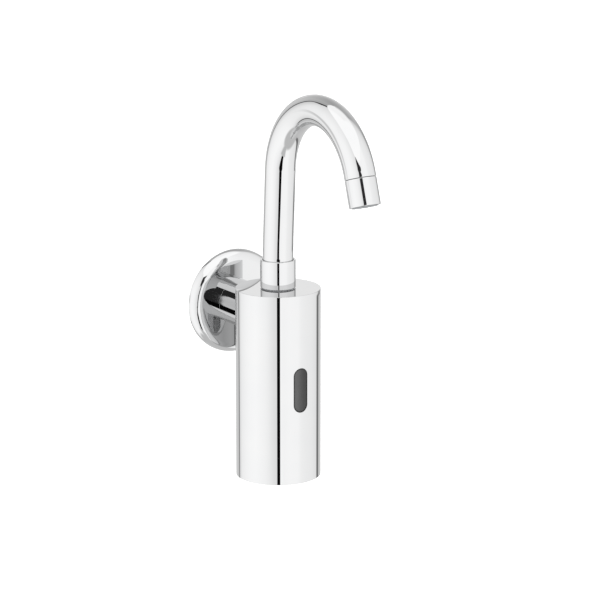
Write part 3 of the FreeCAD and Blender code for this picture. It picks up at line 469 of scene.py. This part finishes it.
def steel():
    material, n = new_material("stainless_steel")
    base = n.ramp(n.noise(300.0, 3.0), [(0.3, (0.52, 0.51, 0.50)), (0.7, (0.62, 0.61, 0.60))])
    rough = n.between(n.noise(1200.0, 4.0, 0.6), 0.3, 0.7, 0.22, 0.36)
    n.surface({"Base Color": base, "Metallic": 1.0, "Roughness": rough})
    return material


def plastic(name, dark, light, rough_low, rough_high, grain=1400.0):
    material, n = new_material(name)
    base = n.ramp(n.noise(160.0, 3.0), [(0.3, dark), (0.7, light)])
    rough = n.between(n.noise(grain, 4.0, 0.6), 0.3, 0.7, rough_low, rough_high)
    bump = n.bump(n.noise(grain, detail=2.0), strength=0.08, distance=0.1 * MM)
    n.surface({"Base Color": base, "Roughness": rough, "Normal": bump})
    return material


def rubber():
    return plastic("rubber", (0.012, 0.012, 0.012), (0.024, 0.024, 0.025), 0.62, 0.82, grain=2200.0)


def window():
    """Dark plastic with painted shade that darkens it to the right, and a near-black painted shadow line
    round its edge.
    """
    material, n = new_material("smoked_window")
    places = n.places()
    across = n.dot(places, (1.0, 0.0, 0.0))
    along = n.math("ABSOLUTE", n.math("SUBTRACT", n.dot(places, (0.0, 0.0, 1.0)), window_centre_z))
    straight = (window_height - window_width) / 2
    beyond = n.math("MAXIMUM", n.math("SUBTRACT", along, straight), 0.0)
    squares = n.math("MULTIPLY_ADD", across, across, n.math("MULTIPLY", beyond, beyond))
    # Painted shadow: a near-black line round the window's edge, where the shell's edge shades it.
    rim = window_width / 2 - shadow_line_width
    painted_shadow_line = n.between(n.math("SQRT", squares), rim, rim + shadow_line_blend)
    # Painted shade: the window's colour darkens from left to right, as if the light fell off that way.
    shade = n.between(across, -painted_shade_half, painted_shade_half, 0.066, 0.012)
    cloud = n.between(n.noise(60.0), 0.3, 0.7, -0.003, 0.003)
    tone = n.mix(painted_shadow_line, n.math("ADD", shade, cloud), 0.003)
    rough = n.between(n.noise(1500.0, 4.0, 0.6), 0.3, 0.7, 0.03, 0.07)
    n.surface({"Base Color": tone, "Roughness": rough, "IOR": 1.49})
    return material


def circuit_board():
    material, n = new_material("circuit_board")
    inputs = {"Vector": n.places(), "Scale": 320.0, "Mortar Size": 0.06, "Mortar": (0.02, 0.19, 0.06, 1),
              "Color1": (0.008, 0.09, 0.03, 1), "Color2": (0.01, 0.11, 0.035, 1)}
    bricks = n.add("ShaderNodeTexBrick", inputs).outputs["Color"]
    rough = n.between(n.noise(900.0), 0.3, 0.7, 0.28, 0.4)
    n.surface({"Base Color": bricks, "Roughness": rough})
    return material


def diode_plastic():
    material, n = new_material("diode_plastic")
    base = n.ramp(n.noise(400.0), [(0.3, (0.015, 0.02, 0.06)), (0.7, (0.03, 0.04, 0.1))])
    n.surface({"Base Color": base, "Roughness": 0.08, "IOR": 1.55})
    return material


def copper():
    material, n = new_material("copper")
    base = n.ramp(n.noise(500.0, 3.0), [(0.3, (0.60, 0.22, 0.10)), (0.7, (0.78, 0.34, 0.16))])
    inputs = {"Vector": n.places(), "Scale": 500.0, "Distortion": 0.4}
    turns = n.add("ShaderNodeTexWave", inputs, bands_direction="Z").outputs["Fac"]
    bump = n.bump(turns, strength=0.6, distance=0.2 * MM)
    n.surface({"Base Color": base, "Metallic": 1.0, "Roughness": 0.28, "Normal": bump})
    return material


def magnet():
    material, n = new_material("magnet")
    base = n.ramp(n.noise(900.0, 5.0, 0.7), [(0.3, (0.05, 0.05, 0.052)), (0.7, (0.11, 0.11, 0.112))])
    n.surface({"Base Color": base, "Metallic": 0.6, "Roughness": 0.5})
    return material


def battery_wrap():
    material, n = new_material("battery_wrap")
    height = n.dot(n.places(), (0.0, 0.0, 1.0))
    band_z = low("battery").z + 26.0 * MM
    band = n.between(height, band_z, band_z + 0.4 * MM)
    base = n.mix(band, (0.03, 0.03, 0.034, 1), (0.36, 0.38, 0.40, 1))
    base = n.mix(n.between(n.noise(250.0), 0.3, 0.7, 0.0, 0.15), base, (0.2, 0.2, 0.2, 1))
    n.surface({"Base Color": base, "Roughness": 0.32})
    return material


materials = {
    "chrome": chrome(),
    "brass": brass(),
    "stainless_steel": steel(),
    "rubber": rubber(),
    "black_plastic": plastic("black_plastic", (0.018, 0.018, 0.019), (0.03, 0.03, 0.032), 0.38, 0.52),
    "white_plastic": plastic("white_plastic", (0.72, 0.72, 0.70), (0.80, 0.80, 0.78), 0.32, 0.46),
    "grey_plastic": plastic("grey_plastic", (0.26, 0.27, 0.28), (0.33, 0.34, 0.35), 0.36, 0.5),
    "smoked_window": window(),
    "circuit_board": circuit_board(),
    "diode_plastic": diode_plastic(),
    "copper": copper(),
    "magnet": magnet(),
    "battery_wrap": battery_wrap(),
}

made_of = {
    "chrome": "wall_flange arm_sleeve body_shell bottom_cap spout_collar spout_tube aerator_housing",
    "brass": "inlet_connector inlet_socket swivel_nipple valve_body coil_nut",
    "stainless_steel": "inlet_filter arm_lock_screw swivel_lock_screw bottom_screws sensor_screws "
                       "bonnet_screws chassis_screws plunger pole_piece plunger_spring core_tube coil_yoke "
                       "battery_contacts aerator_screen",
    "rubber": "wall_gasket connector_o_rings inlet_socket_seal bottom_seal nipple_seal swivel_o_rings "
              "aerator_gasket window_gasket diaphragm plunger_seal battery_pad",
    "black_plastic": "sensor_housing sensor_rear_cover outlet_ring coil_bobbin battery_holder",
    "white_plastic": "valve_disc flow_regulator",
    "grey_plastic": "aerator_insert bonnet chassis slide_ring",
    "smoked_window": "sensor_window",
    "circuit_board": "sensor_board",
    "diode_plastic": "infrared_emitter infrared_receiver",
    "copper": "coil_winding",
    "magnet": "latch_magnet",
    "battery_wrap": "battery",
}
for slot, nodes in made_of.items():
    for node in nodes.split():
        mesh = frame["nodes"][node].data
        mesh.materials.clear()
        mesh.materials.append(materials[slot])


# ---- turned outlines ----
class Outline:
    """A closed outline of (radius, height, corner rounding), as samples with their normals."""

    def __init__(self, corners, steps=6):
        points = [np.array(corner[:2], float) for corner in corners]
        count = len(points)
        area = sum(points[i - 1][0] * points[i][1] - points[i][0] * points[i - 1][1] for i in range(count))
        self.turn = 1.0 if area > 0 else -1.0
        self.samples = []
        for i in range(count):
            self.corner(points[i - 1], points[i], points[(i + 1) % count], corners[i][2], steps)

    def outward(self, along):
        return np.array((along[1], -along[0])) * self.turn

    def corner(self, before, here, after, size, steps):
        into = (here - before) / np.linalg.norm(here - before)
        out = (after - here) / np.linalg.norm(after - here)
        if size <= 0:
            self.samples.append((here, self.outward(into), self.outward(out)))
            return
        bend = math.acos(max(-1.0, min(1.0, float(into @ out))))
        reach = size * math.tan(bend / 2)
        first, last = self.outward(into), self.outward(out)
        convex = 1.0 if (into[0] * out[1] - into[1] * out[0]) * self.turn > 0 else -1.0
        centre = here - into * reach - first * size * convex
        for step in range(steps + 1):
            share = step / steps
            normal = first * math.sin((1 - share) * bend) + last * math.sin(share * bend)
            normal = normal / np.linalg.norm(normal)
            self.samples.append((centre + normal * size * convex, normal, normal))


def new_object(name, points, faces):
    mesh = bpy.data.meshes.new(name)
    mesh.from_pydata([tuple(p) for p in points], [], faces)
    mesh.validate()
    obj = bpy.data.objects.new(name, mesh)
    bpy.context.scene.collection.objects.link(obj)
    return obj


class Axis:
    """A line to turn round: a place on it, its direction and two square directions."""

    def __init__(self, place, direction):
        self.place = Vector(place)
        self.direction = Vector(direction).normalized()
        self.first = self.direction.orthogonal().normalized()
        self.second = self.direction.cross(self.first)

    def at(self, radius, height, angle):
        around = self.first * math.cos(angle) + self.second * math.sin(angle)
        return self.place + self.direction * height + around * radius


UPRIGHT = Axis((0.0, AXIS_Y, 0.0), (0, 0, 1))
INLET = Axis((0.0, 0.0, 0.0), (0, 1, 0))


def turned(name, outline, axis, count=ROUND):
    """A solid of revolution from a closed outline."""
    on_axis = 1e-7
    points, faces, rows = [], [], []
    for place, before, after in outline.samples:
        if place[0] < on_axis:
            rows.append([len(points)] * count)
            points.append(axis.at(0.0, place[1], 0.0))
            continue
        rows.append(list(range(len(points), len(points) + count)))
        points += [axis.at(place[0], place[1], 2 * math.pi * k / count) for k in range(count)]
    for row, after_row in zip(rows, rows[1:] + rows[:1]):
        for k in range(count):
            face = [row[k - 1], row[k], after_row[k], after_row[k - 1]]
            face = [v for i, v in enumerate(face) if v != face[i - 1]]
            if len(set(face)) >= 3:
                faces.append(face if outline.turn < 0 else face[::-1])
    obj = new_object(name, points, faces)
    face_out(obj)
    return obj


def face_out(obj):
    """Turn the faces outwards if the closed mesh encloses a negative volume."""
    mesh = obj.data
    volume = 0.0
    for face in mesh.polygons:
        first = mesh.vertices[face.vertices[0]].co
        for i in range(1, len(face.vertices) - 1):
            second = mesh.vertices[face.vertices[i]].co
            third = mesh.vertices[face.vertices[i + 1]].co
            volume += first.dot(second.cross(third))
    if volume < 0:
        mesh.flip_normals()


def smooth(obj, turned_by=()):
    """Smooth shading: exact normals on the turned surfaces, and by angle elsewhere."""
    mesh = obj.data
    mesh.shade_smooth()
    mesh.set_sharp_from_angle(angle=sharp_angle)
    normals = np.zeros(len(mesh.loops) * 3, np.float32)
    mesh.corner_normals.foreach_get("vector", normals)
    normals = normals.reshape(-1, 3)
    vertex = np.zeros(len(mesh.loops), np.int32)
    mesh.loops.foreach_get("vertex_index", vertex)
    places = np.zeros(len(mesh.vertices) * 3, np.float32)
    mesh.vertices.foreach_get("co", places)
    places = places.reshape(-1, 3).astype(float)[vertex]
    face_normals = np.zeros((len(mesh.loops), 3))
    for face in mesh.polygons:
        face_normals[face.loop_start:face.loop_start + face.loop_total] = face.normal
    for outline, axis in turned_by:
        apply_outline(normals, places, face_normals, outline, axis)
    mesh.normals_split_custom_set([tuple(v) for v in normals])


def apply_outline(normals, places, face_normals, outline, axis):
    """Give the corners on the turned surface its own normals, where a face looks nearly the same way."""
    on_surface = 0.02 * MM
    off_axis = 1e-6
    no_length = 1e-9
    same_way = 0.9
    offset = places - np.array(axis.place)
    height = offset @ np.array(axis.direction)
    radial = offset - height[:, None] * np.array(axis.direction)
    radius = np.linalg.norm(radial, axis=1)
    around = radial / np.maximum(radius, no_length)[:, None]
    count = len(outline.samples)
    best = np.full(len(places), same_way)
    for i in range(count):
        start, _, first = outline.samples[i]
        end, last, _ = outline.samples[(i + 1) % count]
        along = end - start
        length = np.linalg.norm(along)
        if length < no_length:
            continue
        share = ((radius - start[0]) * along[0] + (height - start[1]) * along[1]) / length ** 2
        share = np.clip(share, 0.0, 1.0)
        off = np.hypot(radius - start[0] - share * along[0], height - start[1] - share * along[1])
        flat = first[None, :] * (1 - share)[:, None] + last[None, :] * share[:, None]
        flat = flat / np.linalg.norm(flat, axis=1)[:, None]
        normal = around * flat[:, :1] + np.array(axis.direction)[None, :] * flat[:, 1:]
        agree = np.einsum("ij,ij->i", normal, face_normals)
        pick = (off < on_surface) & (agree > best) & (radius > off_axis)
        normals[pick] = normal[pick]
        best[pick] = agree[pick]


def cut_out(obj, *cutters):
    """Subtract closed meshes from obj, and remove them."""
    for cutter in cutters:
        change = obj.modifiers.new("cut", "BOOLEAN")
        change.operation = "DIFFERENCE"
        change.solver = "EXACT"
        change.object = cutter
    bpy.context.view_layer.update()
    graph = bpy.context.evaluated_depsgraph_get()
    result = bpy.data.meshes.new_from_object(obj.evaluated_get(graph))
    obj.modifiers.clear()
    obj.data = result
    for cutter in cutters:
        bpy.data.objects.remove(cutter)


def rod(radius, axis, start, end, count=96):
    outline = Outline([(0.0, start, 0), (radius, start, 0), (radius, end, 0), (0.0, end, 0)])
    return turned("rod", outline, axis, count)


def obround(name, width, height, front_y, back_y, centre_z):
    """An upright slot-shaped prism along Y."""
    radius = width / 2
    half = height / 2 - radius
    loop = []
    for end, first in ((half, 0.0), (-half, math.pi)):
        for k in range(hole_count + 1):
            angle = first + math.pi * k / hole_count
            loop.append((radius * math.cos(angle), centre_z + end + radius * math.sin(angle)))
    total = len(loop)
    points = [(x, front_y, z) for x, z in loop] + [(x, back_y, z) for x, z in loop]
    faces = [[k, (k + 1) % total, total + (k + 1) % total, total + k] for k in range(total)]
    faces += [list(range(total))[::-1], list(range(total, 2 * total))]
    obj = new_object(name, points, faces)
    face_out(obj)
    return obj


def finish_piece(obj, node, body, slot):
    obj.data.materials.clear()
    obj.data.materials.append(materials[slot])
    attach(obj, body)
    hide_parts(node)


# ---- body shell ----
def make_shell():
    inner = body_radius - body_wall
    ceiling = TOP_Z - top_wall
    seat = TOP_Z - nipple_seat_depth
    outline = Outline([
        (inner, bottom_z, soft_edge), (body_radius, bottom_z, shell_edge), (body_radius, TOP_Z, shell_edge),
        (nipple_seat_radius, TOP_Z, fine_edge), (nipple_seat_radius, seat, 0), (nipple_hole_radius, seat, 0),
        (nipple_hole_radius, ceiling, 0), (inner, ceiling, round_edge)])
    obj = turned("body_shell_skin", outline, UPRIGHT)
    slot = obround("slot", window_width, window_height, AXIS_Y - 2 * body_radius, AXIS_Y, window_centre_z)
    back = rod(back_hole_radius, INLET, AXIS_Y, 0.0)
    cut_out(obj, slot, back)
    smooth(obj, [(outline, UPRIGHT)])
    finish_piece(obj, "body_shell", "fixed", "chrome")


make_shell()


# ---- wall flange ----
def make_flange():
    front = -flange_front_y
    recess = flange_recess_depth
    inner = flange_radius - flange_rim_width
    outline = Outline([
        (flange_hole_radius, -front, broken_edge), (flange_radius, -front, flange_edge_radius),
        (flange_radius, 0.0, soft_edge), (inner, 0.0, broken_edge), (inner, -recess, 0),
        (flange_hole_radius, -recess, 0)], steps=12)
    obj = turned("wall_flange_skin", outline, INLET)
    smooth(obj, [(outline, INLET)])
    finish_piece(obj, "wall_flange", "fixed", "chrome")


make_flange()


# ---- arm ----
def make_arm():
    outline = Outline([
        (arm_bore_radius, AXIS_Y, 0), (arm_radius, AXIS_Y, 0), (arm_radius, flange_front_y, fine_edge),
        (arm_bore_radius, flange_front_y, fine_edge)])
    obj = turned("arm_sleeve_skin", outline, INLET)
    body = rod(body_radius, UPRIGHT, -2 * arm_radius, 2 * arm_radius, ROUND)
    access_axis = Axis((0.0, lock_y, 0.0), (0, 0, -1))
    access = rod(lock_hole_radius, access_axis, 0.0, arm_radius + overcut, hole_count)
    cut_out(obj, body, access)
    smooth(obj, [(outline, INLET)])
    finish_piece(obj, "arm_sleeve", "fixed", "chrome")


make_arm()


# ---- collar ----
def make_collar():
    outline = Outline([
        (swivel_bore_radius, collar_bottom_z, fine_edge), (collar_radius, collar_bottom_z, broken_edge),
        (collar_radius, collar_top_z, collar_edge), (tube_radius + seam_width, collar_top_z, fine_edge),
        (tube_radius + tube_play, collar_top_z - seam_depth, 0),
        (tube_radius + tube_play, tube_foot_z, 0), (swivel_bore_radius, tube_foot_z, 0)])
    obj = turned("spout_collar_skin", outline, UPRIGHT)
    hole_axis = Axis((0.0, AXIS_Y, swivel_screw_z), (0, 1, 0))
    cut_out(obj, rod(swivel_screw_radius, hole_axis, 0.0, 2 * collar_radius, hole_count))
    smooth(obj, [(outline, UPRIGHT)])
    finish_piece(obj, "spout_collar", "spout", "chrome")


make_collar()


# ---- gooseneck tube ----
def heading(angle):
    return Vector((0.0, -math.sin(angle), math.cos(angle)))


def side(angle):
    return Vector((0.0, -math.cos(angle), -math.sin(angle)))


def along_arc(start, first, last, radius):
    return start + side(first) * radius - side(last) * radius


def spout_path():
    """Stations (place, lean) along the tube's centre line, and its end and direction."""
    foot = Vector((0.0, AXIS_Y, tube_foot_z))
    blend_start = Vector((0.0, AXIS_Y, collar_top_z))
    blend_end = along_arc(blend_start, 0.0, leg_lean, leg_blend_radius)
    climb = leg_height - (blend_end.z - collar_top_z)
    bend_start = blend_end + heading(leg_lean) * (climb / math.cos(leg_lean))
    turn = leg_lean + bend_angle
    stations = [(foot, 0.0)]
    blend_steps, leg_steps, bend_steps = 10, 8, 144
    for k in range(blend_steps + 1):
        lean = leg_lean * k / blend_steps
        stations.append((along_arc(blend_start, 0.0, lean, leg_blend_radius), lean))
    for k in range(1, leg_steps):
        stations.append((blend_end.lerp(bend_start, k / leg_steps), leg_lean))
    for k in range(bend_steps + 1):
        lean = leg_lean + bend_angle * k / bend_steps
        stations.append((along_arc(bend_start, leg_lean, lean, bend_radius), lean))
    end = stations[-1][0] + heading(turn) * straight_end
    stations.append((end, turn))
    return stations, end, heading(turn)


def make_tube(stations):
    lip_steps = 4
    square = math.radians(90.0)
    points, normals, faces = [], [], []

    def radial(angle, lean):
        return Vector((1, 0, 0)) * math.cos(angle) + side(lean) * math.sin(angle)

    def flattened(angle, lean, place):
        """The angle to shade by: the leg turns less towards the camera, which widens what it mirrors."""
        off = math.remainder(angle - flat_angle, 2 * math.pi)
        fade = max(0.0, 1.0 - lean / flat_fade)
        share = min(1.0, max(0.0, (place.z - collar_top_z) / leg_height))
        amount = (flat_low + (flat_high - flat_low) * share) * fade
        return angle - off * amount * math.exp(-(off / flat_width) ** 2)

    def ring(place, lean, radius, tilt=0.0):
        """One ring of points, its normals leaning from radial towards the path by tilt."""
        first = len(points)
        for k in range(tube_count):
            angle = 2 * math.pi * k / tube_count
            points.append(place + radial(angle, lean) * radius)
            around = radial(flattened(angle, lean, place), lean)
            normals.append(around * math.cos(tilt) + heading(lean) * math.sin(tilt))
        return first

    def band(first, second):
        for k in range(tube_count):
            j = (k + 1) % tube_count
            faces.append([first + k, second + k, second + j, first + j])

    outer = [ring(place, lean, tube_radius) for place, lean in stations[:-1]]
    end_place, end_lean = stations[-1]
    for step in range(lip_steps + 1):
        tilt = square * step / lip_steps
        place = end_place - heading(end_lean) * soft_edge * (1 - math.sin(tilt))
        outer.append(ring(place, end_lean, tube_radius - soft_edge * (1 - math.cos(tilt)), tilt))
    outer.append(ring(end_place, end_lean, tube_bore_radius, square))
    inner = [ring(place, lean, tube_bore_radius) for place, lean in stations]
    for first in inner:
        for k in range(tube_count):
            normals[first + k] = -normals[first + k]
    foot_place, foot_lean = stations[0]
    foot_outer = ring(foot_place, foot_lean, tube_radius, -square)
    foot_inner = ring(foot_place, foot_lean, tube_bore_radius, -square)
    for run in (outer, inner[::-1], [foot_inner, foot_outer]):
        for first, second in zip(run, run[1:]):
            band(first, second)
    corner_normals = [normals[v] for face in faces for v in face]
    mesh = bpy.data.meshes.new("spout_tube_skin")
    mesh.from_pydata([tuple(p) for p in points], [], faces)
    mesh.shade_smooth()
    mesh.normals_split_custom_set([tuple(v) for v in corner_normals])
    obj = bpy.data.objects.new("spout_tube_skin", mesh)
    bpy.context.scene.collection.objects.link(obj)
    finish_piece(obj, "spout_tube", "spout", "chrome")


stations, tube_end, outlet_direction = spout_path()
make_tube(stations)
OUTLET = Axis(tube_end, outlet_direction)


# ---- aerator ----
def make_aerator():
    lip = aerator_length - aerator_lip
    mouth = tube_bore_radius - aerator_lip_width
    outline = Outline([
        (tube_bore_radius, aerator_seam, fine_edge), (tube_radius, aerator_seam, soft_edge),
        (tube_radius, aerator_length, round_edge), (mouth, aerator_length, mouth_edge), (mouth, lip, 0),
        (tube_bore_radius, lip, 0)], steps=8)
    obj = turned("aerator_housing_skin", outline, OUTLET)
    smooth(obj, [(outline, OUTLET)])
    finish_piece(obj, "aerator_housing", "spout", "chrome")


make_aerator()


# ---- aerator insert: the grid of jets that shows below the lip ----
def make_insert():
    face = aerator_length + insert_proud
    lip = aerator_length - aerator_lip
    outline = Outline([
        (0.0, insert_start, 0), (insert_wide, insert_start, 0), (insert_wide, lip, fine_edge),
        (insert_narrow, lip, 0), (insert_narrow, face, soft_edge), (0.0, face, 0)])
    obj = turned("aerator_insert_skin", outline, OUTLET, insert_count)
    reach = insert_narrow - 1.5 * jet_radius
    rows = int(insert_narrow / jet_pitch) + 1
    jets = []
    for row in range(-rows, rows + 1):
        for column in range(-rows, rows + 1):
            u = (column + row / 2) * jet_pitch
            v = row * jet_pitch * math.sqrt(3) / 2
            if math.hypot(u, v) < reach:
                place = OUTLET.place + OUTLET.first * u + OUTLET.second * v
                axis = Axis(place, OUTLET.direction)
                jets.append(rod(jet_radius, axis, insert_start - overcut, face + overcut, jet_count))
    bpy.ops.object.select_all(action="DESELECT")
    for jet in jets:
        jet.select_set(True)
    bpy.context.view_layer.objects.active = jets[0]
    bpy.ops.object.join()
    cut_out(obj, jets[0])
    smooth(obj, [(outline, OUTLET)])
    finish_piece(obj, "aerator_insert", "spout", "grey_plastic")


make_insert()


# ---- sensor window ----
def make_window():
    """An obround plug with a body-round face on a wider plate, from loops of half width and depth."""
    half = window_width / 2 - window_clearance
    straight = (window_height - window_width) / 2
    face = body_radius - window_recess
    core = 0.05 * MM
    loops = [(core, face)]
    loops += [(half * share, face) for share in (0.2, 0.4, 0.6, 0.8)]
    for tilt in (math.radians(angle) for angle in (0, 22, 45, 68, 90)):
        loops.append((half - window_edge * (1 - math.sin(tilt)), face - window_edge * (1 - math.cos(tilt))))
    loops += [(half, window_flange_outer), (half + window_flange, window_flange_outer),
              (half + window_flange, window_flange_inner), (core, window_flange_inner)]
    points, faces = [], []
    for reach, radius in loops:
        for end, first in ((straight, 0.0), (-straight, math.pi)):
            for k in range(hole_count + 1):
                angle = first + math.pi * k / hole_count
                x = reach * math.cos(angle)
                z = window_centre_z + end + reach * math.sin(angle)
                points.append((x, AXIS_Y - math.sqrt(radius * radius - x * x), z))
    total = 2 * (hole_count + 1)
    for i in range(len(loops) - 1):
        for k in range(total):
            j = (k + 1) % total
            faces.append([i * total + k, i * total + j, (i + 1) * total + j, (i + 1) * total + k])
    faces.append(list(range(total)))
    faces.append(list(range(len(points) - total, len(points)))[::-1])
    obj = new_object("sensor_window_skin", points, faces)
    face_out(obj)
    smooth(obj)
    finish_piece(obj, "sensor_window", "fixed", "smoked_window")


make_window()
